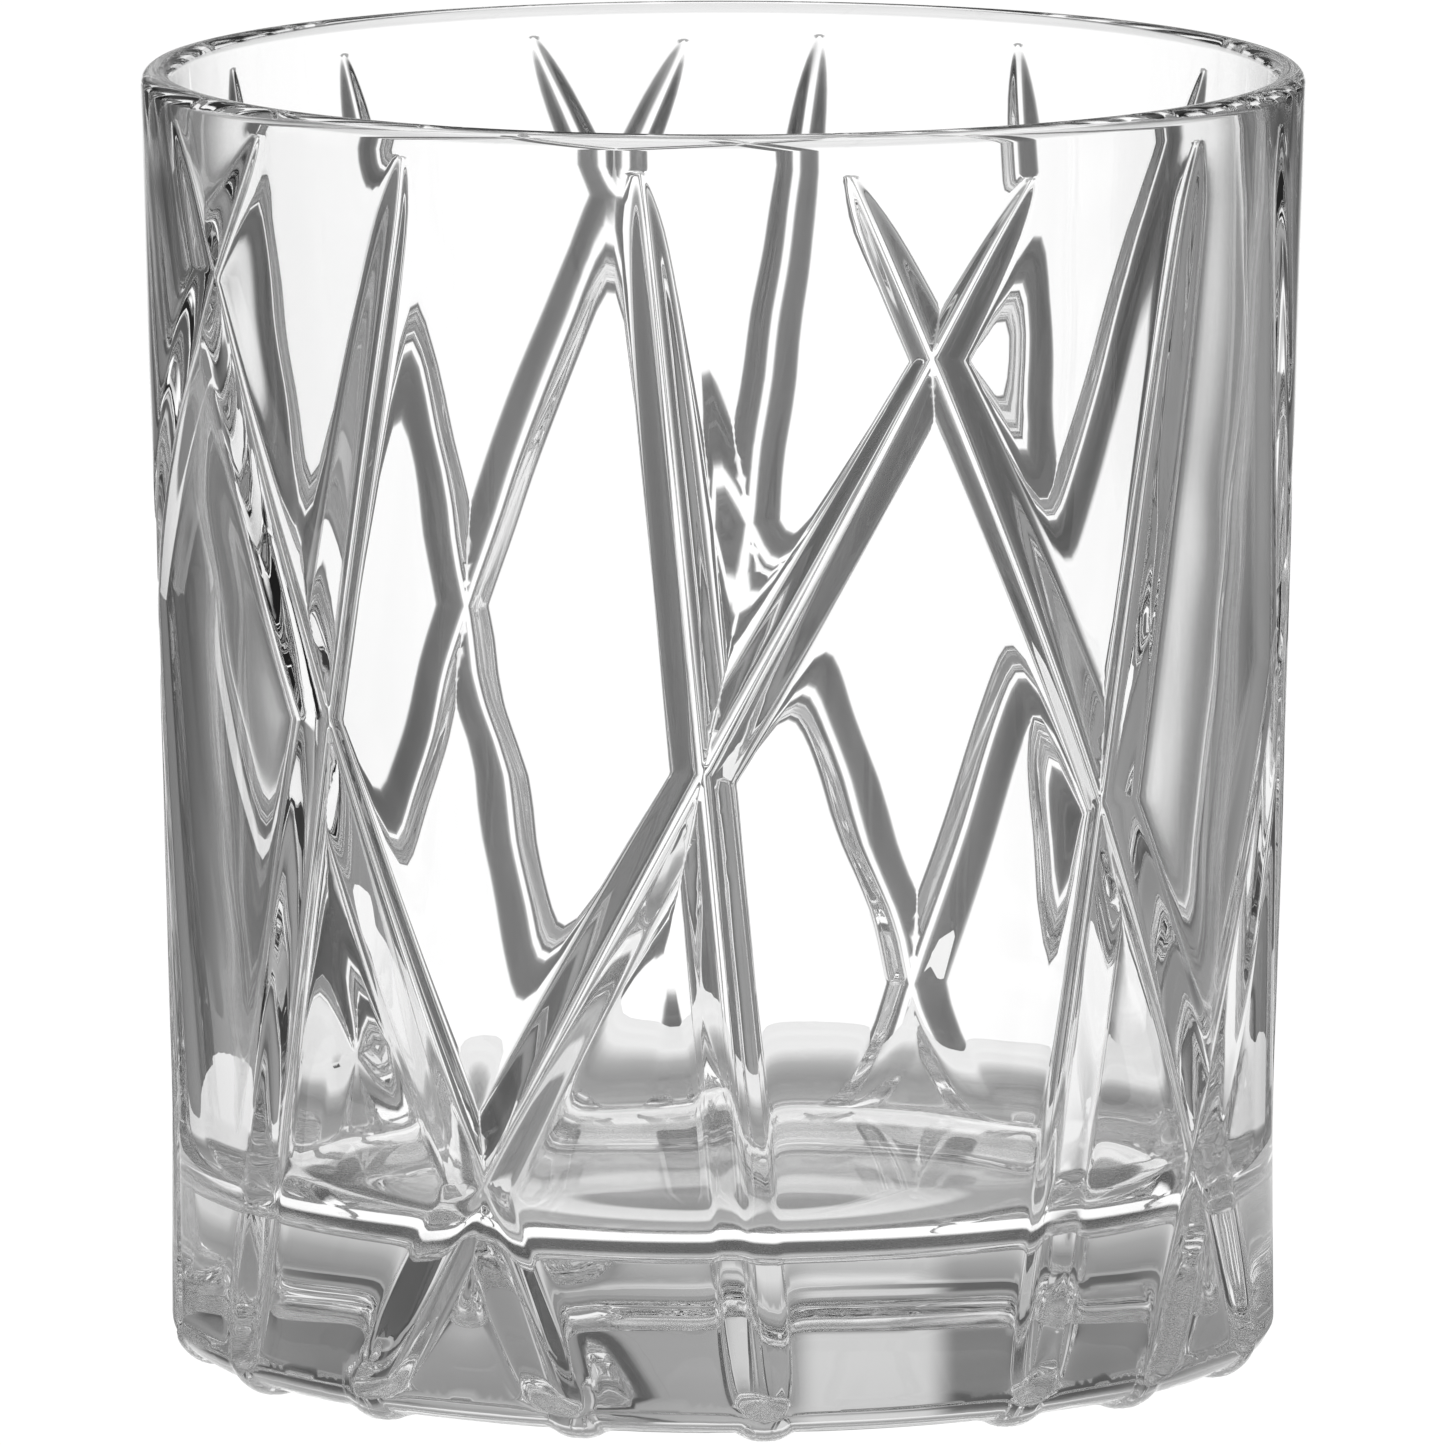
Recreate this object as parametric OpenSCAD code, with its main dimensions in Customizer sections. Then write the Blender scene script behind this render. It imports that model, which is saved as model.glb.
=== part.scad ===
// Whiskey tumbler of pressed crystal, in millimetres.
// It is one piece of clear glass: a thick base, a wall that flares a little, and a fan of
// straight V cuts that cross each other round the wall. Each cut starts in a fine point just
// below the rim and runs out just above a small rounded toe at the edge of the foot.
// The origin is the centre of the resting plane, +Z is up and the front faces -Y.

/* [Glass] */
// Height of the rim above the resting plane
height = 93.8; // [86:0.2:105]
// Outer diameter at the rim
rim_d = 84; // [78:1:92]
// Outer diameter of the straight foot
foot_d = 80; // [74:1:86]
// Height of the straight foot, where the wall starts to flare
foot_h = 19; // [10:1:30]
// Thickness of the wall at the rim, which is rounded over
rim_wall = 2.2; // [1.8:0.1:3]
// Thickness of the wall just above the floor
low_wall = 4.2; // [3.4:0.1:6]
// Height of the floor inside, above the resting plane
floor_h = 12; // [8:0.2:18]
// Radius of the corner between the floor and the wall, inside
floor_round = 6; // [3:0.5:10]

/* [Cuts] */
// Full depth of a cut
cut_depth = 1.6; // [0.8:0.05:1.8]
// Half width of a cut at the surface for each millimetre of its depth
cut_spread = 1.35; // [1:0.05:1.6]
// Mean distance from the rim down to the fine points in which the cuts start
tip_drop = 2.8; // [2.8:0.2:12]
// Height at which the cuts run out, just above the toes
runout_h = 2.2; // [1.6:0.2:6]

/* [Foot] */
// Radius of the rounded lower edge
edge_round = 2.2; // [1.5:0.1:3]
// Clearance of that edge above the resting plane, between the toes
edge_lift = 0.7; // [0.3:0.1:1]
// Radius of a toe
toe_r = 3.3; // [2.6:0.1:3.6]
// How far a toe stands out of the wall
toe_proud = 0.3; // [0.1:0.1:0.6]
// Width of the flat ring that the glass rests on
rest_w = 7; // [4:0.5:10]
// Depth of the shallow hollow inside that ring
hollow = 1; // [0.4:0.1:2]

/* [Hidden] */
$fn = 120;

// Where each cut starts under the rim and where it ends at the foot: degrees round the glass
// from the front, counted towards +X, and how far its start lies above the mean height.
// The order is that of the starting points, once round the glass.
cuts = [
    [-69, -15.7, 0.6], [-52, -146, 0.8], [-32.6, -60.5, 0.5], [-8, 4.5, 0.1], [12.5, 72.3, -0.2],
    [31.3, -40.3, -1], [53.6, 33, 0.3], [72, 92, 0], [88, 112, 0.2], [104, 50, -0.6],
    [120, 167, 0], [148, 133, 0.2], [170, 187, 0.2], [184, 241, -0.2], [200, 144, 0.3],
    [223, 196, 0], [242, 228, 0.2], [266, 279, 0]
];

foot_r = foot_d / 2;
rim_r = rim_d / 2;
lip_r = rim_wall / 2;
lip_h = height - lip_r;
tip_h = height - tip_drop;
edge_r = foot_r - edge_round;
rest_out = edge_r - 3.3;
rest_in = rest_out - rest_w;
toe_flat = 0.15;

// The inner wall is a straight line from the lip down to the rounded floor corner.
draft = atan((rim_r - rim_wall - foot_r + low_wall) / (lip_h - foot_h));
bend_h = floor_h + floor_round;
inner_low_r = foot_r - low_wall - (foot_h - bend_h) * tan(draft);
floor_r = inner_low_r - floor_round / cos(draft);

// Each cut is a swept V that starts and ends a little way outside the glass.
cut_steps = 16;
overshoot = 0.4;
margin = 1;
tip_taper = 6;
foot_taper = 1.2;

// Radius of the outer wall at height z, taken straight down through the rounded edge
function wall_r(z) = foot_r + (rim_r - foot_r) * max(0, z - foot_h) / (lip_h - foot_h);
// Share of the full depth that a cut has reached at the distance s from its point or run-out
function swell(s, taper) = s < 0 ? s : s / (s + taper);
function run_out(s) = s < 0 ? s : sqrt(swell(s, foot_taper));
function depth_at(z, z_tip) = cut_depth * min(swell(z_tip - z, tip_taper), run_out(z - runout_h));
function on_glass(r, a, z) = [r * sin(a), -r * cos(a), z];
// One station of a cut: left lip, valley and right lip of its V
function station(a, z, tilt, z_tip) = let (
        d = depth_at(z, z_tip),
        r = wall_r(z),
        spread = (d + margin) * cut_spread / cos(tilt) / r * 180 / PI
    ) [
        on_glass(r + margin, a - spread, z),
        on_glass(r - d, a, z),
        on_glass(r + margin, a + spread, z)
    ];

// A cut from the azimuth a_tip, at lift above the mean height, to the azimuth a_foot at the foot
module cut(a_tip, a_foot, lift) {
    z_tip = tip_h + lift;
    turn = (a_tip - a_foot) / z_tip;
    tilt = atan(turn * PI / 180 * foot_r);
    z_top = z_tip + overshoot;
    z_low = runout_h - overshoot;
    points = [for (i = [0:cut_steps])
        let (z = z_top - (z_top - z_low) * (1 - cos(180 * i / cut_steps)) / 2)
        each station(a_tip - turn * (z_tip - z), z, tilt, z_tip)];
    sides = [for (i = [0:cut_steps - 1], k = [0:2])
        let (p = 3 * i + k, q = 3 * i + (k + 1) % 3)
        each [[p, p + 3, q], [q, p + 3, q + 3]]];
    last = 3 * cut_steps;
    polyhedron(points, concat([[0, 1, 2]], sides, [[last + 2, last + 1, last]]));
}

// Half section of the glass without its cuts
module section() {
    difference() {
        union() {
            polygon([
                [0, hollow], [rest_in - 2, hollow], [rest_in, 0], [rest_out, 0],
                [edge_r, edge_lift], [edge_r, edge_lift + edge_round],
                [foot_r, edge_lift + edge_round], [foot_r, foot_h], [rim_r, lip_h],
                [rim_r - lip_r, height], [0, height]
            ]);
            translate([edge_r, edge_lift + edge_round]) circle(edge_round);
            translate([rim_r - lip_r, lip_h]) circle(lip_r);
        }
        difference() {
            union() {
                polygon([
                    [0, floor_h], [floor_r, floor_h], [floor_r, bend_h],
                    [floor_r + floor_round * cos(draft), bend_h - floor_round * sin(draft)],
                    [rim_r - rim_wall, lip_h], [rim_r - lip_r, lip_h],
                    [rim_r - lip_r, height + 1], [0, height + 1]
                ]);
                translate([floor_r, bend_h]) circle(floor_round);
            }
            translate([rim_r - lip_r, lip_h]) circle(lip_r);
        }
    }
}

// A rounded toe at the foot of a cut, flattened where it stands
module toe(a) {
    rotate([0, 0, a]) translate([0, toe_r - toe_proud - foot_r, toe_r - toe_flat]) sphere(toe_r);
}

module tumbler() {
    color("aliceblue", 0.5) difference() {
        union() {
            rotate_extrude() section();
            for (c = cuts) toe(c[1]);
        }
        for (c = cuts) cut(c[0], c[1], c[2]);
        translate([0, 0, -1]) cylinder(h = 1, r = rim_r);
    }
}

tumbler();
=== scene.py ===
import math

import bpy
import numpy as np
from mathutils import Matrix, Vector
from mathutils.geometry import delaunay_2d_cdt
from mathutils.kdtree import KDTree


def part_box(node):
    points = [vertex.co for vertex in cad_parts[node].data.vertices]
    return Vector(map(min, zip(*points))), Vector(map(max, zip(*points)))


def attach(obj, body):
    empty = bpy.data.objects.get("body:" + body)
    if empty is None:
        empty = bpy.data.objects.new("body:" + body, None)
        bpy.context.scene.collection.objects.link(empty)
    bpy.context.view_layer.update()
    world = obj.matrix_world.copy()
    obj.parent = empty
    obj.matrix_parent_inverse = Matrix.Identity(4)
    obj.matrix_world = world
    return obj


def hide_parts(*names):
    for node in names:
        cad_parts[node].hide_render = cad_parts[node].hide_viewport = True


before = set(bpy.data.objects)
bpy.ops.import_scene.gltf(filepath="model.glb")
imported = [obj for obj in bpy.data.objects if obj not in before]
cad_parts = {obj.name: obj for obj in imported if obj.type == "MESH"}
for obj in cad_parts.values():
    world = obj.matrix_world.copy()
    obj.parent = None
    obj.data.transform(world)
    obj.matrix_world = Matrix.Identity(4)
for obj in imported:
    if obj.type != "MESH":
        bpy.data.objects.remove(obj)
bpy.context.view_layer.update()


# ---------------------------------------------------------------------------------------------
# The tumbler is one gob of clear crystal glass, pressed in a mould and fire polished, with a
# thick foot and a wall that flares a little. A fan of straight V cuts crosses itself round the
# wall, and each cut runs from a fine point under the rim to a small rounded toe at the foot.
# ---------------------------------------------------------------------------------------------
MM_PER_M = 1000
box_low, box_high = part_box("tumbler")
HEIGHT = box_high[2] * MM_PER_M
RIM_R = (box_high[0] - box_low[0]) * MM_PER_M / 2
RIM_WALL = 2.2
LIP_R = RIM_WALL / 2
LIP_H = HEIGHT - LIP_R
FOOT_R = 40.0
FOOT_H = 19.0
LOW_WALL = 4.2
FLOOR_H = 12.0
FLOOR_ROUND = 6.0

# Underfoot a shallow hollow lies inside the flat ring that the glass rests on. The outer edge
# of the foot is rounded and stays just clear of the table.
HOLLOW_R, HOLLOW_H, HOLLOW_ROUND = 25.5, 1.0, 5
REST_IN, REST_IN_ROUND = 27.5, 2
REST_OUT, REST_OUT_ROUND = 34.5, 6
FOOT_EDGE_H, FOOT_EDGE_ROUND = 1.17, 2.2
FLARE_BEND = 200

# The fan of cuts: degrees round the glass at the point under the rim and at the foot, and how
# far in millimetres the point lies above the mean height.
CUTS = np.array([
    (-69, -15.7, 0.6), (-52, -146, 0.8), (-32.6, -60.5, 0.5), (-8, 4.5, 0.1),
    (12.5, 72.3, -0.2), (31.3, -40.3, -1), (53.6, 33, 0.3), (72, 92, 0), (88, 112, 0.2),
    (104, 50, -0.6), (120, 167, 0), (148, 133, 0.2), (170, 187, 0.2), (184, 241, -0.2),
    (200, 144, 0.3), (223, 196, 0), (242, 228, 0.2), (266, 279, 0),
])
CUT_DEPTH = 1.4
CUT_SPREAD = 1.35
TIP_H = HEIGHT - 2.8
TIP_TAPER = 8.0
RUNOUT_H = 2.2
FOOT_TAPER = 1.2

# The fire softens every edge: the valley of a cut, the ridge where two cuts meet, the edge
# between a cut and its panel, and a low shoulder beside each cut that sinks below the panel.
VALLEY_ROUND = 0.55
RIDGE_ROUND = 0.06
EDGE_ROUND = 0.075
SHOULDER = 0.11
SHOULDER_REACH = 0.55
SHOULDER_GROWS = 5
SHOULDER_PAST_TIP = 0.2

# A toe is a ball half sunk in the foot.
TOE_R = 3.3
TOE_OUT = FOOT_R + 0.3 - TOE_R
TOE_UP = TOE_R - 0.15
TOE_BLEND = 0.06

# The slow ripple of the fire polish: turns round the glass, radians for each millimetre of
# height, and where it starts.
WAVES = [(3, 0.11, 0.3), (5, 0.17, 1.9), (8, 0.23, 4.1), (11, 0.31, 5.2), (15, 0.12, 2.6)]
WAVE_HEIGHT = 0.03


def rounded(corners, step=0.05):
    """Points (r, z) and headings along a line of corners (r, z, radius of its round)."""
    points, headings = [], []
    places = [np.array(corner[:2], float) for corner in corners]
    start = places[0]
    for before, here, after, corner in zip(places, places[1:], places[2:], corners[1:]):
        way_in = (here - before) / np.linalg.norm(here - before)
        way_out = (after - here) / np.linalg.norm(after - here)
        turn = math.atan2(way_in[0] * way_out[1] - way_in[1] * way_out[0], way_in @ way_out)
        heading = math.atan2(way_in[1], way_in[0])
        end = here - way_in * corner[2] * math.tan(abs(turn) / 2)
        for t in np.linspace(0, 1, max(2, int(np.linalg.norm(end - start) / step))):
            points.append(start + (end - start) * t)
            headings.append(heading)
        side = corner[2] * math.copysign(1, turn)
        centre = end + side * np.array((-way_in[1], way_in[0]))
        for t in np.linspace(0, 1, max(4, int(abs(turn) * corner[2] / step)))[1:]:
            bent = heading + turn * t
            points.append(centre + side * np.array((math.sin(bent), -math.cos(bent))))
            headings.append(bent)
        start = points[-1]
    last = places[-1] - start
    for t in np.linspace(0, 1, int(np.linalg.norm(last) / step))[1:]:
        points.append(start + last * t)
        headings.append(math.atan2(last[1], last[0]))
    return np.array(points), np.unwrap(headings)


# The profile runs from the middle underfoot, up the outside and over the lip to the middle of
# the floor inside.
draft = (RIM_R - RIM_WALL - FOOT_R + LOW_WALL) / (LIP_H - FOOT_H)
flare = (RIM_R - FOOT_R) / (LIP_H - FOOT_H)
outline, heading = rounded([
    (0, HOLLOW_H, 0), (HOLLOW_R, HOLLOW_H, HOLLOW_ROUND), (REST_IN, 0, REST_IN_ROUND),
    (REST_OUT, 0, REST_OUT_ROUND), (FOOT_R, FOOT_EDGE_H, FOOT_EDGE_ROUND),
    (FOOT_R, FOOT_H, FLARE_BEND), (RIM_R + flare * LIP_R, HEIGHT, LIP_R),
    (RIM_R - RIM_WALL + draft * LIP_R, HEIGHT, LIP_R),
    (FOOT_R - LOW_WALL - draft * (FOOT_H - FLOOR_H), FLOOR_H, FLOOR_ROUND), (0, FLOOR_H, 0),
])
steps = np.linalg.norm(np.diff(outline, axis=0), axis=1)
along = np.concatenate(([0], np.cumsum(steps)))


def profile(v):
    """Radius, height and outward normal of the plain glass at v millimetres of its profile."""
    bent = np.interp(v, along, heading)
    r, z = np.interp(v, along, outline[:, 0]), np.interp(v, along, outline[:, 1])
    return r, z, np.sin(bent), -np.cos(bent)


# The moulded skin, which carries the cuts and toes, starts near the edge of the resting ring.
SKIN_LOW = 34.0
outside_run = slice(int(np.searchsorted(along, SKIN_LOW + 1)), int(np.argmax(outline[:, 1])))


def up_the_wall(z):
    """Distance along the profile at which the outside of the glass reaches the height z."""
    return np.interp(z, outline[outside_run, 1], along[outside_run])


SKIN_HIGH = float(up_the_wall(LIP_H))

tip_at = TIP_H + CUTS[:, 2]
slope = (CUTS[:, 0] - CUTS[:, 1]) / tip_at
lean = np.cos(np.arctan(np.radians(slope) * FOOT_R))


def depth(z, z_tip):
    """Depth at the height z of a cut that starts at z_tip. It is below zero past its ends."""
    from_tip, from_foot = z_tip - z, z - RUNOUT_H
    swell = np.where(from_tip < 0, from_tip, from_tip / (np.abs(from_tip) + TIP_TAPER))
    run_out = np.sqrt(np.maximum(from_foot, 0) / (np.maximum(from_foot, 0) + FOOT_TAPER))
    return CUT_DEPTH * np.minimum(swell, np.where(from_foot < 0, from_foot, run_out))


def turned(angle):
    """The same angle between minus and plus half a turn."""
    return (angle + math.pi) % (2 * math.pi) - math.pi


def soft_ramp(x, width):
    """x where it is above zero and nothing below, with a soft bend between."""
    return np.maximum(x, 0) + width * np.log1p(np.exp(-np.abs(x) / width))


def smooth(t):
    return t ** 2 * (3 - 2 * t)


def relief(a, v):
    """How far the moulded surface stands out of the plain glass at a radians round it."""
    r, z, nr, nz = profile(v)
    deepest, next_deepest, ball = (np.full(r.shape, -9.0) for _ in range(3))
    sunk = np.zeros(r.shape)
    for cut, m, c, z_tip in zip(CUTS, np.radians(slope), lean, tip_at):
        aside = turned(a - (math.radians(cut[1]) + m * z)) * r * c
        valley = (np.sqrt(aside ** 2 + VALLEY_ROUND ** 2) - VALLEY_ROUND) / CUT_SPREAD
        deep = depth(z, z_tip) - valley
        next_deepest = np.maximum(next_deepest, np.minimum(deepest, deep))
        deepest = np.maximum(deepest, deep)
        grown = smooth(np.clip((z_tip + SHOULDER_PAST_TIP - z) / SHOULDER_GROWS, 0, 1))
        beside = np.exp(np.minimum(deep, 0) * CUT_SPREAD / SHOULDER_REACH)
        sunk = np.maximum(sunk, SHOULDER * grown * beside)
        # A ray along the normal meets the toe's ball this far out.
        off = turned(a - math.radians(cut[1]))
        b = nr * (r - TOE_OUT * np.cos(off)) + nz * (z - TOE_UP)
        far = r ** 2 + TOE_OUT ** 2 - 2 * r * TOE_OUT * np.cos(off) + (z - TOE_UP) ** 2
        ball = np.maximum(ball, np.sqrt(np.maximum(b * b - far + TOE_R ** 2, 0)) - b)
    ridge = np.maximum(RIDGE_ROUND - (deepest - next_deepest), 0) ** 2 / (4 * RIDGE_ROUND)
    outside = (v > SKIN_LOW) & (v < SKIN_HIGH)
    toe = np.where(outside, soft_ramp(ball, TOE_BLEND), 0)
    cut_away = soft_ramp(deepest + ridge + toe, EDGE_ROUND)
    sunk = sunk * np.clip((v - SKIN_LOW) / 4, 0, 1)
    return np.where(outside, toe - cut_away - sunk, 0)


def waver(a, v):
    """The ripple left by the fire polish. It fades out at the lip, on the floor and underfoot."""
    r, z, nr, nz = profile(v)
    height = 0
    for i, (turns, rate, start) in enumerate(WAVES):
        round_it = np.sin(turns * a + rate * z + start + i)
        height = height + round_it * np.sin(rate * 1.3 * z + 2 * start) / (i + 2)
    on_walls = np.clip(np.abs(nr) * 1.2 - 0.2, 0, 1)
    off_ends = np.clip((z - 3) / 8, 0, 1) * np.clip((LIP_H - z) / 6, 0, 1)
    return WAVE_HEIGHT * height * on_walls * off_ends


def place(a, v):
    """The finished surface in millimetres. The front faces -Y."""
    r, z, nr, nz = profile(v)
    out = relief(a, v) + waver(a, v)
    r, z = r + nr * out, np.maximum(z + nz * out, 0)
    return np.stack((r * np.sin(a), -r * np.cos(a), z), -1)


def facing(a, v, d=0.02):
    """Normal of the finished surface, which keeps the cuts crisp and the panels calm."""
    r = np.maximum(profile(v)[0], 0.5)
    across = place(a + d / r, v) - place(a - d / r, v)
    upward = place(a, v + d) - place(a, v - d)
    n = np.cross(across, upward)
    return n / np.maximum(np.linalg.norm(n, axis=-1, keepdims=True), 1e-12)


# The outside is meshed as an unrolled sheet, with lines of vertices along every cut, its
# shoulders and the ridges where two cuts meet, so that the edges are straight and clean. Its
# seam lies on the side, and its ends meet plain rings of vertices.
ROUND = 2 * math.pi * FOOT_R
SEAM = math.radians(100.7)
SEAM_SNAP = 0.03
SIDES = 240
sheet_points, sheet_edges = [], []


def add_line(degrees, z, aside=0.0):
    """A line of vertices on the unrolled glass, broken where it passes the seam."""
    u = (np.radians(degrees) - SEAM) * FOOT_R + aside
    v = up_the_wall(z)
    seam = np.round(u / ROUND) * ROUND
    u = np.where(np.abs(u - seam) < SEAM_SNAP, seam, u)
    run, runs = [(u[0], v[0])], []
    for u0, v0, u1, v1 in zip(u, v, u[1:], v[1:]):
        passed = [k * ROUND for k in range(-3, 4) if min(u0, u1) < k * ROUND < max(u0, u1)]
        for seam in sorted(passed, reverse=bool(u1 < u0)):
            v_seam = v0 + (v1 - v0) * (seam - u0) / (u1 - u0)
            runs.append(run + [(seam, v_seam)])
            run = [(seam, v_seam)]
        run.append((u1, v1))
        if abs(u1 - round(u1 / ROUND) * ROUND) < 1e-9:
            runs.append(run)
            run = [(u1, v1)]
    runs.append(run)
    for run in runs:
        if len(run) < 2:
            continue
        lap = math.floor((run[0][0] + run[-1][0]) / 2 / ROUND)
        start = len(sheet_points)
        sheet_points.extend((min(max(u - lap * ROUND, 0.0), ROUND), v) for u, v in run)
        sheet_edges.extend((start + i, start + i + 1) for i in range(len(run) - 1))


# Millimetres down from a cut's point and from its foot end, and to each side of its valley
# and of its edge, at which lines of vertices lie.
NEAR_TIP = np.array([-0.45, -0.2, 0, 0.25, 0.6, 1.1, 1.8, 2.8, 4, 5.5, 7.2])
NEAR_FOOT = np.array([4.4, 3.2, 2.3, 1.6, 1.1, 0.7, 0.4, 0.15, 0, -0.3, -0.7])
SHAFT_START, SHAFT_END, SHAFT_STEPS = 9, 6, 38
BY_VALLEY = (0.2, 0.5, 0.9)
BY_EDGE = (-0.5, -0.28, -0.14, 0.0, 0.14, 0.34, 0.7, 1.2, 1.8, 2.6, 3.4)

for (tip, foot, lift), m, c, z_tip in zip(CUTS, slope, lean, tip_at):
    shaft = np.linspace(SHAFT_START, z_tip - RUNOUT_H - SHAFT_END, SHAFT_STEPS)
    z = z_tip - np.concatenate((NEAR_TIP, shaft, z_tip - RUNOUT_H - NEAR_FOOT))
    half = np.maximum(depth(z, z_tip), 0) * CUT_SPREAD
    half = np.sqrt(half * (half + 2 * VALLEY_ROUND))
    arc = FOOT_R / (profile(up_the_wall(z))[0] * c)
    offsets = [np.minimum(n, half * n * 0.6) for n in BY_VALLEY]
    offsets += [np.maximum(half + n, 0.5 * half + 0.1 * n) for n in BY_EDGE]
    add_line(foot + m * z, z)
    for offset in offsets:
        add_line(foot + m * z, z, offset * arc)
        add_line(foot + m * z, z, -offset * arc)

# Where two cuts cross, their facets meet in ridges that run from the crossing to the panels.
RIDGE_STEPS = 8
for i in range(len(CUTS)):
    for j in range(i):
        for lap in (-360, 0, 360):
            z_cross = (CUTS[j, 1] + lap - CUTS[i, 1]) / (slope[i] - slope[j])
            if not RUNOUT_H + 0.5 < z_cross < min(tip_at[i], tip_at[j]) - 0.5:
                continue
            r = float(profile(up_the_wall(z_cross))[0])
            mi, mj = np.radians(slope[i]) * r, np.radians(slope[j]) * r
            deep_i, deep_j = (float(depth(z_cross, tip_at[k])) for k in (i, j))
            step = (deep_i - deep_j) * CUT_SPREAD
            for side_i, side_j in ((1, 1), (1, -1), (-1, 1), (-1, -1)):
                t = np.linspace(max(0, step), deep_i * CUT_SPREAD + 0.1, RIDGE_STEPS)
                up = (side_i * t / lean[i] - side_j * (t - step) / lean[j]) / (mj - mi)
                z = np.clip(z_cross + up, RUNOUT_H, TIP_H)
                aside = (side_i * t / lean[i] + mi * up) / r * FOOT_R
                add_line(np.full(RIDGE_STEPS, CUTS[i, 1] + slope[i] * z_cross), z, aside)

# A close net of vertices carries each toe.
TOE_NET = 0.42
TOE_REACH = 3.5
toe_v = np.arange(SKIN_LOW + 2.2, up_the_wall(4.4), TOE_NET)
toe_z = profile(np.concatenate((toe_v, up_the_wall(np.array([5.0, 5.8])))))[1]
for cut in CUTS:
    for aside in np.arange(-TOE_REACH, TOE_REACH + 0.1, TOE_NET):
        add_line(np.full(len(toe_z), cut[1]), toe_z, np.full(len(toe_z), aside))

# Plain vertices fill the panels, clear of the lines beside the cuts.
FILL = 1.3
CLEAR_OF_CUTS = 4.0
for k, v in enumerate(np.arange(SKIN_LOW + FILL, SKIN_HIGH - 0.6, FILL * 0.87)):
    u = (np.arange(int(ROUND / FILL)) + 0.5 * (k % 2) + 0.25) * FILL
    u = u[(u > 0.6) & (u < ROUND - 0.6)]
    z = float(profile(v)[1])
    near = np.full(u.shape, 9.0)
    for cut, m, c, z_tip in zip(CUTS, slope, lean, tip_at):
        off = np.abs(turned(u / FOOT_R + SEAM - np.radians(cut[1] + m * z))) * FOOT_R * c
        near = np.minimum(near, off - max(float(depth(z, z_tip)), 0) * CUT_SPREAD)
    sheet_points.extend((x, v) for x in u[near > CLEAR_OF_CUTS])

start = len(sheet_points)
rim_u = np.linspace(0, ROUND, SIDES + 1)
seam_v = np.linspace(SKIN_LOW, SKIN_HIGH, 80)
border = [(u, SKIN_LOW) for u in rim_u] + [(ROUND, v) for v in seam_v[1:]]
border += [(u, SKIN_HIGH) for u in rim_u[::-1][1:]] + [(0.0, v) for v in seam_v[::-1][1:-1]]
sheet_points += border
sheet_edges += [(start + i, start + (i + 1) % len(border)) for i in range(len(border))]

sheet, _, sheet_faces, *_ = delaunay_2d_cdt(
    [Vector(p) for p in sheet_points], sheet_edges, [], 0, 1e-4)
sheet = np.array([tuple(p) for p in sheet])
angles, distances = [sheet[:, 0] / FOOT_R + SEAM], [sheet[:, 1]]
faces = [tuple(face) for face in sheet_faces]


def add_rings(levels, pole_v):
    """Rings of vertices along the profile, closed at a pole in the middle of the glass."""
    base = sum(len(a) for a in angles)
    for v in levels:
        angles.append(np.arange(SIDES) / SIDES * 2 * math.pi + SEAM)
        distances.append(np.full(SIDES, v))
    angles.append(np.zeros(1))
    distances.append(np.full(1, pole_v))
    upward = levels[-1] > levels[0]
    for low in range(base, base + (len(levels) - 1) * SIDES, SIDES):
        for i in range(SIDES):
            j = (i + 1) % SIDES
            quad = (low + i, low + j, low + SIDES + j, low + SIDES + i)
            faces.append(quad if upward else quad[::-1])
    last, pole = base + (len(levels) - 1) * SIDES, base + len(levels) * SIDES
    for i in range(SIDES):
        fan = (last + i, last + (i + 1) % SIDES, pole)
        faces.append(fan if upward else fan[::-1])


# The lip, the inner wall, the round of the floor and the floor, and then the underside.
MIDDLE = along[-1]
lip_end = SKIN_HIGH + math.pi * LIP_R - 0.05
floor_at = MIDDLE - (FOOT_R - LOW_WALL) + 0.5
add_rings(np.concatenate((
    np.linspace(SKIN_HIGH, lip_end, 11), np.arange(lip_end + 2, floor_at - 9, 2.4),
    np.linspace(floor_at - 8.5, floor_at + 6, 16), MIDDLE - np.linspace(27, 0.5, 12))), MIDDLE)
add_rings(np.concatenate((np.linspace(SKIN_LOW, 24, 14), np.linspace(22.5, 0.5, 10))), 0.0)

a_all, v_all = np.concatenate(angles), np.concatenate(distances)
points = place(a_all, v_all) / MM_PER_M
normals = facing(a_all, v_all)
poles = profile(v_all)[0] < 1e-6
normals[poles] = np.where(v_all[poles, None] > 1, (0, 0, 1), (0, 0, -1))

# The sheet's seam and borders are welded to each other and to the rings by their places.
WELD = 3e-6
on_border = np.concatenate((
    (sheet[:, 0] < 1e-4) | (sheet[:, 0] > ROUND - 1e-4)
    | (sheet[:, 1] < SKIN_LOW + 1e-4) | (sheet[:, 1] > SKIN_HIGH - 1e-4),
    np.ones(len(points) - len(sheet), bool)))
near_points = KDTree(int(on_border.sum()))
for i in np.flatnonzero(on_border):
    near_points.insert(points[i], i)
near_points.balance()
same_as = np.arange(len(points))
for i in np.flatnonzero(on_border):
    same_as[i] = min(k for _, k, _ in near_points.find_range(points[i], WELD))
used, short = np.unique(same_as, return_inverse=True)
welded = [list(dict.fromkeys(short[list(face)].tolist())) for face in faces]

mesh = bpy.data.meshes.new("tumbler_glass")
mesh.from_pydata(points[used].tolist(), [], [face for face in welded if len(face) > 2])
mesh.validate()
mesh.shade_smooth()
mesh.normals_split_custom_set_from_vertices(normals[used].tolist())
glass = bpy.data.objects.new("tumbler_glass", mesh)
bpy.context.scene.collection.objects.link(glass)


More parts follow.
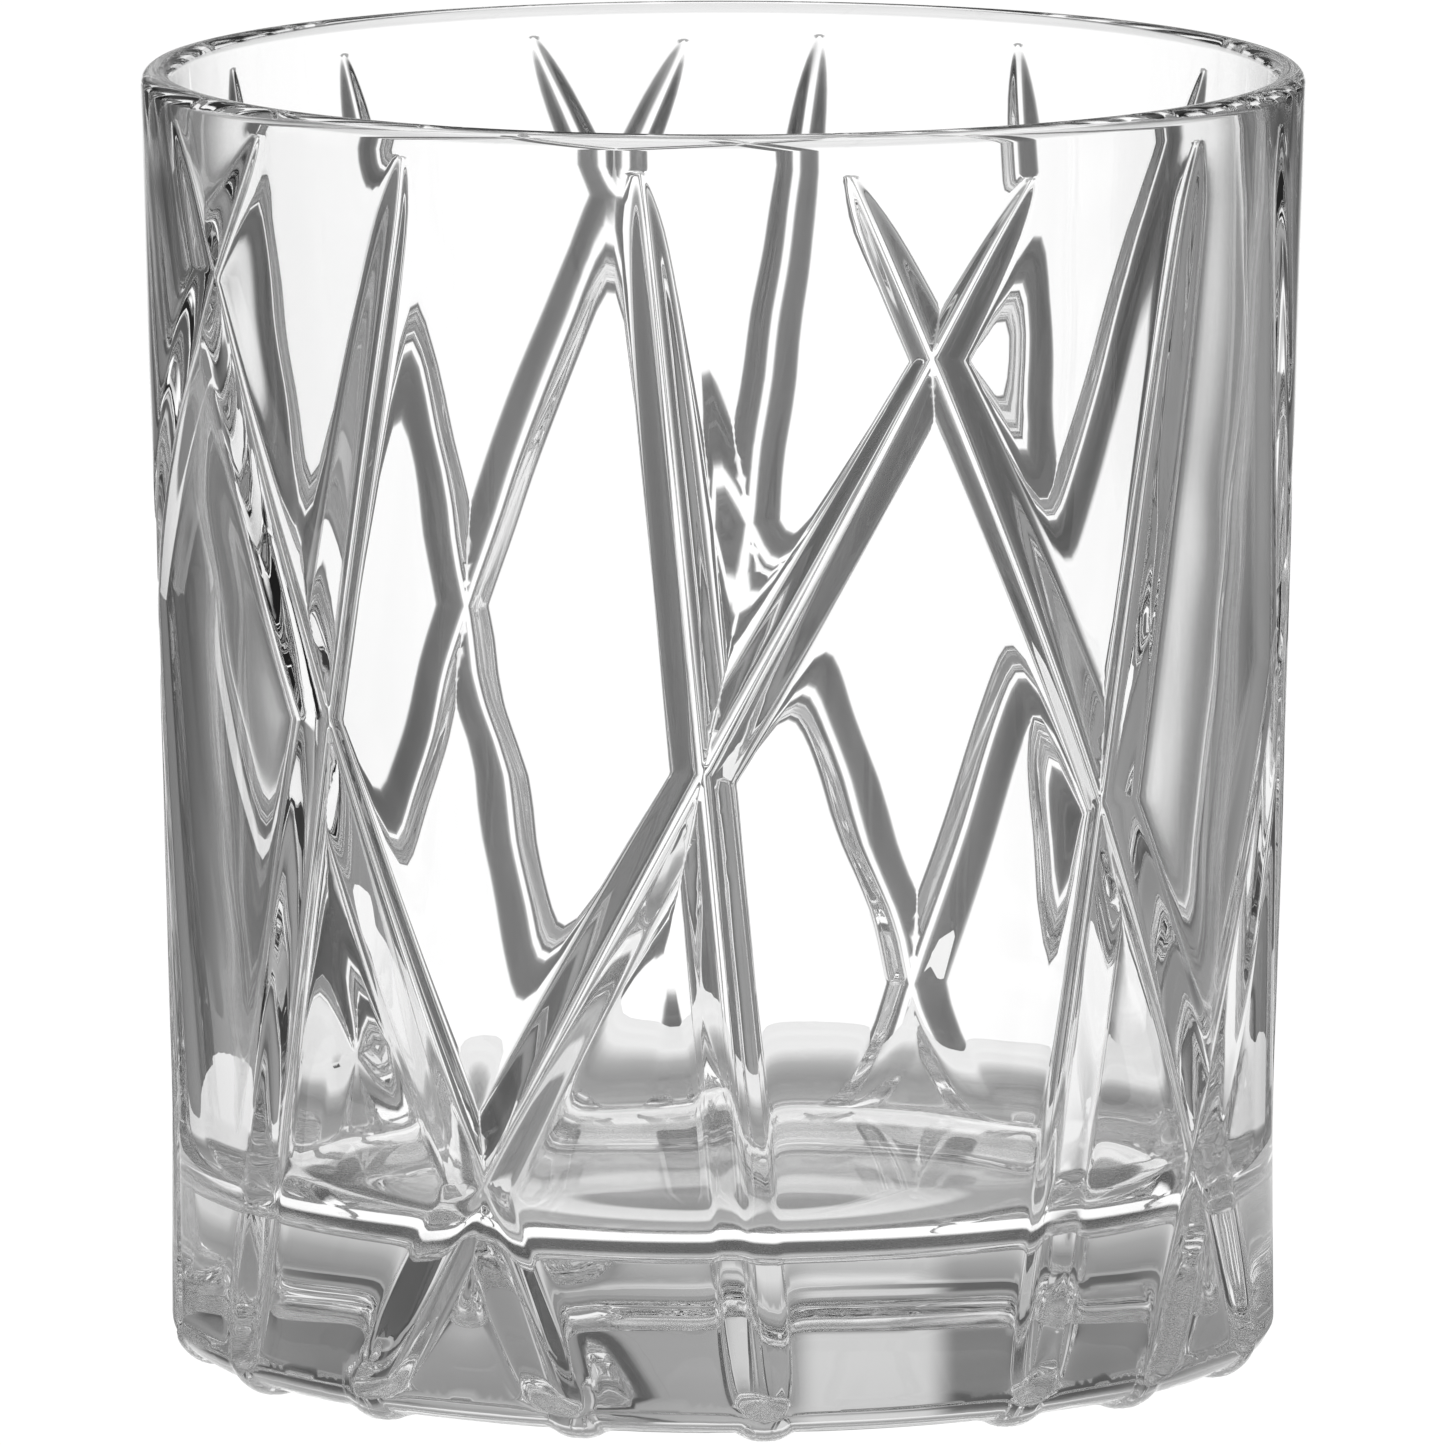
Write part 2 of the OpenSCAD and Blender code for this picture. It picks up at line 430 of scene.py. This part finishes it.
def linear(hex_colour):
    """Linear colour of an sRGB hex value."""
    parts = [int(hex_colour[i:i + 2], 16) / 255 for i in (1, 3, 5)]
    return tuple(c / 12.92 if c <= 0.04045 else ((c + 0.055) / 1.055) ** 2.4
                 for c in parts) + (1,)


def add_node(tree, kind, settings=None, links=None):
    """One node with its settings, and links from (node, output) to its inputs."""
    node = tree.nodes.new(kind)
    for name, value in (settings or {}).items():
        if isinstance(name, str) and hasattr(node, name):
            setattr(node, name, value)
        else:
            node.inputs[name].default_value = value
    for name, (source, output) in (links or {}).items():
        tree.links.new(source.outputs[output], node.inputs[name])
    return node


# Clear crystal glass, pressed and fire polished: the flame melts the skin smooth and leaves only
# a slow ripple, 16 mm from crest to crest and a few hundredths of a millimetre high. The lowest
# 0.6 mm, the ring it stands on and the ends of the toes, is scuffed dull by tables.
RIPPLE = 0.016
RIPPLE_HEIGHT = 0.00003
SCUFF = 0.0009
SCUFFED_TO = 0.0006
crystal = bpy.data.materials.new("fire_polished_crystal")
crystal.use_nodes = True
tree = crystal.node_tree
tree.nodes.clear()
spot = add_node(tree, "ShaderNodeTexCoord")
ripple = add_node(
    tree, "ShaderNodeTexNoise", {"Scale": 1 / RIPPLE, "Detail": 1.0, "Roughness": 0.35},
    {"Vector": (spot, "Object")})
skin = add_node(
    tree, "ShaderNodeBump", {"Strength": 0.7, "Distance": RIPPLE_HEIGHT},
    {"Height": (ripple, 0)})
level = add_node(tree, "ShaderNodeSeparateXYZ", {}, {0: (spot, "Object")})
low = add_node(
    tree, "ShaderNodeMapRange", {"From Min": SCUFFED_TO, "From Max": 0.0001},
    {0: (level, "Z")})
scuffs = add_node(
    tree, "ShaderNodeTexNoise", {"Scale": 1 / SCUFF, "Detail": 3.0},
    {"Vector": (spot, "Object")})
rubbed = add_node(
    tree, "ShaderNodeMath", {"operation": "MULTIPLY"}, {0: (low, 0), 1: (scuffs, 0)})
dull = add_node(tree, "ShaderNodeMath", {"operation": "MULTIPLY", 1: 0.5}, {0: (rubbed, 0)})
shader = add_node(
    tree, "ShaderNodeBsdfPrincipled",
    {"Base Color": linear("#fefefe"), "Transmission Weight": 1.0, "IOR": 1.54},
    {"Roughness": (dull, 0), "Normal": (skin, 0)})
add_node(tree, "ShaderNodeOutputMaterial", links={"Surface": (shader, 0)})
glass.data.materials.append(crystal)

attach(glass, "root")
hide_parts("tumbler")


# ---------------------------------------------------------------------------------------------
# The glass stands on a round light table of opal acrylic, lit evenly from below. Where rays
# come through glass, its glow is painted with rings of light and painted shadow that stand in for
# the caustics and shade of the thick foot.
# ---------------------------------------------------------------------------------------------
TABLE_RADIUS = 0.11
TABLE_SIDES = 128
TABLE_GLOW = 1.05
# Painted rings of light and painted shadow: millimetres from the middle and the level there.
PAINTED_CAUSTIC_AND_SHADOW_RINGS = [
    (0, 0.22), (10, 0.24), (11.5, 1.1), (17, 1.1), (18.5, 0.42), (25, 0.5), (28, 0.08),
    (34, 0.10), (35.5, 1.15), (40, 1.15), (42, 0.30), (52, 0.22), (62, 0.45), (72, 1.0),
    (110, 1.1)]


def graded(tree, source, full, levels):
    """A ramp of light levels, each at its place out of the full span."""
    ramp = add_node(tree, "ShaderNodeValToRGB", {}, {0: (source, 0)})
    while len(ramp.color_ramp.elements) < len(levels):
        ramp.color_ramp.elements.new(1.0)
    for element, (place_at, level) in zip(ramp.color_ramp.elements, levels):
        element.position = place_at / full
        element.color = (level, level, level, 1)
    return ramp


table_mesh = bpy.data.meshes.new("light_table")
turns = np.linspace(0, 2 * math.pi, TABLE_SIDES + 1)[:-1]
table_mesh.from_pydata(
    [(TABLE_RADIUS * math.cos(t), TABLE_RADIUS * math.sin(t), -0.0001) for t in turns],
    [], [range(TABLE_SIDES)])
light_table = bpy.data.objects.new("light_table", table_mesh)
bpy.context.scene.collection.objects.link(light_table)

# Opal acrylic, cast and lightly polished: an even glow to the camera, and to other rays the
# painted rings of light and painted shadow under a soft gloss.
acrylic = bpy.data.materials.new("backlit_acrylic_painted_rings")
acrylic.use_nodes = True
tree = acrylic.node_tree
tree.nodes.clear()
here = add_node(tree, "ShaderNodeTexCoord")
from_middle = add_node(
    tree, "ShaderNodeVectorMath", {"operation": "LENGTH"}, {0: (here, "Object")})
outwards = add_node(
    tree, "ShaderNodeMath", {"operation": "DIVIDE", 1: TABLE_RADIUS},
    {0: (from_middle, "Value")})
# The painted rings of light and painted shadow, graded by distance from the middle.
painted_rings = graded(tree, outwards, TABLE_RADIUS * MM_PER_M, PAINTED_CAUSTIC_AND_SHADOW_RINGS)
painted_ring_glow = add_node(tree, "ShaderNodeEmission", {"Strength": 1.0}, {"Color": (painted_rings, 0)})
gloss = add_node(
    tree, "ShaderNodeBsdfGlossy", {"Color": linear("#ffffff"), "Roughness": 0.1})
polish = add_node(tree, "ShaderNodeFresnel", {"IOR": 1.49})
through_glass = add_node(
    tree, "ShaderNodeMixShader", {}, {0: (polish, 0), 1: (painted_ring_glow, 0), 2: (gloss, 0)})
plain_glow = add_node(
    tree, "ShaderNodeEmission", {"Color": linear("#ffffff"), "Strength": TABLE_GLOW})
seen = add_node(tree, "ShaderNodeLightPath")
table_top = add_node(
    tree, "ShaderNodeMixShader", {},
    {0: (seen, "Is Camera Ray"), 1: (through_glass, 0), 2: (plain_glow, 0)})
add_node(tree, "ShaderNodeOutputMaterial", {}, {"Surface": (table_top, 0)})
table_mesh.materials.append(acrylic)


# ---------------------------------------------------------------------------------------------
# The studio, by direction seen from the glass: a white panel stands behind it between dark
# flags, the side walls are grey and the wall in front is white. Each list of walls holds
# degrees away from straight behind and the level there, and the roof has degrees up.
# ---------------------------------------------------------------------------------------------
LOW_WALLS = [
    (0, 0.86), (11, 0.80), (17, 0.14), (26, 0.06), (38, 0.20), (60, 0.24), (100, 0.30),
    (125, 0.90), (180, 0.80)]
WALLS = [
    (0, 1.12), (8.5, 1.08), (12, 0.34), (16, 0.13), (26, 0.05), (33, 0.09), (42, 0.26),
    (62, 0.30), (80, 0.14), (108, 0.40), (128, 0.95), (180, 0.95)]
HIGH_WALLS = [
    (0, 0.42), (10, 0.34), (18, 0.08), (34, 0.06), (50, 0.24), (80, 0.20), (96, 1.0),
    (112, 1.0), (128, 0.20), (150, 0.50), (180, 0.60)]
ROOF = [
    (9, 0.26), (16, 0.30), (24, 0.20), (37, 0.22), (42, 0.95), (55, 0.95), (61, 0.24),
    (76, 0.24), (90, 0.55)]
# Small white panels hang where the glass is looked through from other sides, each by its
# degrees round, degrees up, half width, half height and level.
PANELS = [
    (-45, -25, 9, 6, 1.0), (-90, -3, 9, 4, 1.0), (135, -15, 12, 7, 1.0), (-11, 9, 4, 4, 0.62)]
PANEL_FADE = 3
BACKDROP = 1.02

world = bpy.data.worlds.new("studio")
bpy.context.scene.world = world
world.use_nodes = True
tree = world.node_tree
tree.nodes.clear()
way = add_node(tree, "ShaderNodeTexCoord")
split = add_node(tree, "ShaderNodeSeparateXYZ", {}, {0: (way, "Generated")})
turn = add_node(
    tree, "ShaderNodeMath", {"operation": "ARCTAN2"}, {0: (split, "X"), 1: (split, "Y")})
turn_size = add_node(tree, "ShaderNodeMath", {"operation": "ABSOLUTE"}, {0: (turn, 0)})
half_turns = add_node(
    tree, "ShaderNodeMath", {"operation": "DIVIDE", 1: math.pi}, {0: (turn_size, 0)})
rise = add_node(tree, "ShaderNodeMath", {"operation": "ARCSINE"}, {0: (split, "Z")})
quarter_turns = add_node(
    tree, "ShaderNodeMath", {"operation": "DIVIDE", 1: math.pi / 2}, {0: (rise, 0)})


def above(low, high, under, over):
    """The light called under below the angle low and the one called over above high."""
    share = add_node(
        tree, "ShaderNodeMapRange",
        {"interpolation_type": "SMOOTHSTEP",
         "From Min": math.radians(low), "From Max": math.radians(high)},
        {0: (rise, 0)})
    return add_node(tree, "ShaderNodeMix", {}, {0: (share, 0), 2: (under, 0), 3: (over, 0)})


def within(angle, middle, half):
    """One where the angle is within half degrees of the middle, and zero a little further."""
    away = add_node(
        tree, "ShaderNodeMath", {"operation": "SUBTRACT", 1: math.radians(middle)},
        {0: (angle, 0)})
    away = add_node(tree, "ShaderNodeMath", {"operation": "ABSOLUTE"}, {0: (away, 0)})
    return add_node(
        tree, "ShaderNodeMapRange",
        {"interpolation_type": "SMOOTHSTEP",
         "From Min": math.radians(half + PANEL_FADE), "From Max": math.radians(half)},
        {0: (away, 0)})


low_walls = graded(tree, half_turns, 180, LOW_WALLS)
walls = graded(tree, half_turns, 180, WALLS)
high_walls = graded(tree, half_turns, 180, HIGH_WALLS)
roof = graded(tree, quarter_turns, 90, ROOF)
studio = above(-20, -13, low_walls, walls)
studio = above(-4, 0, studio, high_walls)
studio = above(6, 14, studio, roof)
for degrees, up, half_width, half_height, level in PANELS:
    across, upward = within(turn, degrees, half_width), within(rise, up, half_height)
    inside = add_node(
        tree, "ShaderNodeMath", {"operation": "MULTIPLY"}, {0: (across, 0), 1: (upward, 0)})
    studio = add_node(tree, "ShaderNodeMix", {3: level}, {0: (inside, 0), 2: (studio, 0)})
seen = add_node(tree, "ShaderNodeLightPath")
paper = add_node(
    tree, "ShaderNodeMix", {3: BACKDROP}, {0: (seen, "Is Camera Ray"), 2: (studio, 0)})
light = add_node(tree, "ShaderNodeBackground", {"Strength": 1.0}, {"Color": (paper, 0)})
add_node(tree, "ShaderNodeOutputWorld", {}, {0: (light, 0)})


# ---------------------------------------------------------------------------------------------
# The camera looks a little down at the glass through a long lens, from far enough away that
# the rim and the foot hardly converge.
# ---------------------------------------------------------------------------------------------
SENSOR, LENS = 36, 537.01
SHIFT = (-0.00045, -0.01197)
ELEVATION, DISTANCE = math.radians(8.45), 1.56
AIM = Vector((0, 0, 0.04722))

camera_data = bpy.data.cameras.new("camera")
camera = bpy.data.objects.new("camera", camera_data)
bpy.context.scene.collection.objects.link(camera)
bpy.context.scene.camera = camera
camera_data.sensor_width, camera_data.lens = SENSOR, LENS
camera_data.shift_x, camera_data.shift_y = SHIFT
camera_data.clip_start, camera_data.clip_end = 0.05, 50
back = Vector((0, -math.cos(ELEVATION), math.sin(ELEVATION)))
camera.location = AIM + back * DISTANCE
camera.rotation_mode = "QUATERNION"
camera.rotation_quaternion = (-back).to_track_quat("-Z", "Y")

# Light passes many faces of glass before it leaves the foot.
scene = bpy.context.scene
scene.view_settings.view_transform = "Standard"
scene.cycles.max_bounces = 48
scene.cycles.transmission_bounces = 48
scene.cycles.glossy_bounces = 12
